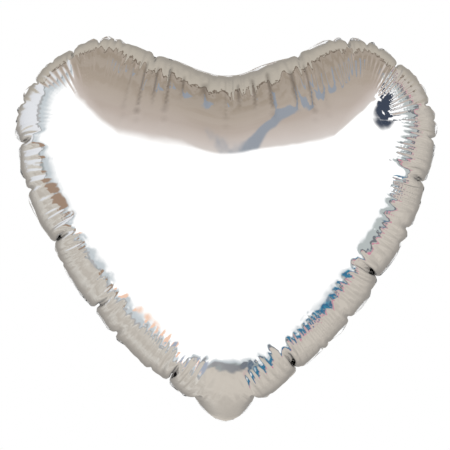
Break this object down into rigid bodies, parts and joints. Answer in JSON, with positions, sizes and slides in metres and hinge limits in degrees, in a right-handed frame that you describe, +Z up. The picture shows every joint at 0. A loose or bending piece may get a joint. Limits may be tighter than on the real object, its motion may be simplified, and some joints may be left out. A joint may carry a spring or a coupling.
{
  "type": "heart-shaped foil balloon",
  "caption": "Inflated heart-shaped metallised film balloon: two domed panels welded round a flat rim, with a self-sealing valve and a fold-up inflation tail.",
  "frame": {"origin": "centre of the heart's box, in the plane where the two panels are welded", "axes": "+X across the lobes to the right as seen from the front, -Y out of the front panel, +Z up from the tip to the cleft"},
  "size_m": [0.394, 0.192, 0.3559],
  "materials": {
    "foil": "mirror-bright metallised film, puckered along the rim",
    "foil_weld": "heat-sealed metallised film with a fine pressed grain",
    "valve_film": "clear, slightly milky polyethylene film"
  },
  "bodies": {
    "balloon": {"front_panel": "foil", "back_panel": "foil", "perimeter_weld": "foil_weld", "inner_valve_front_ply": "valve_film", "inner_valve_back_ply": "valve_film", "inner_valve_side_welds": "valve_film"},
    "tail": {"tail_front_ply": "foil", "tail_back_ply": "foil", "tail_side_welds": "foil_weld", "tail_valve_front_ply": "valve_film", "tail_valve_back_ply": "valve_film", "tail_valve_side_welds": "valve_film"}
  },
  "joints": [
    {"name": "tail_fold", "type": "hinge", "parent": "balloon", "child": "tail", "pos_m": [0, 0, -0.1789], "axis": [-1, 0, 0], "range_deg": [0, 128]}
  ]
}
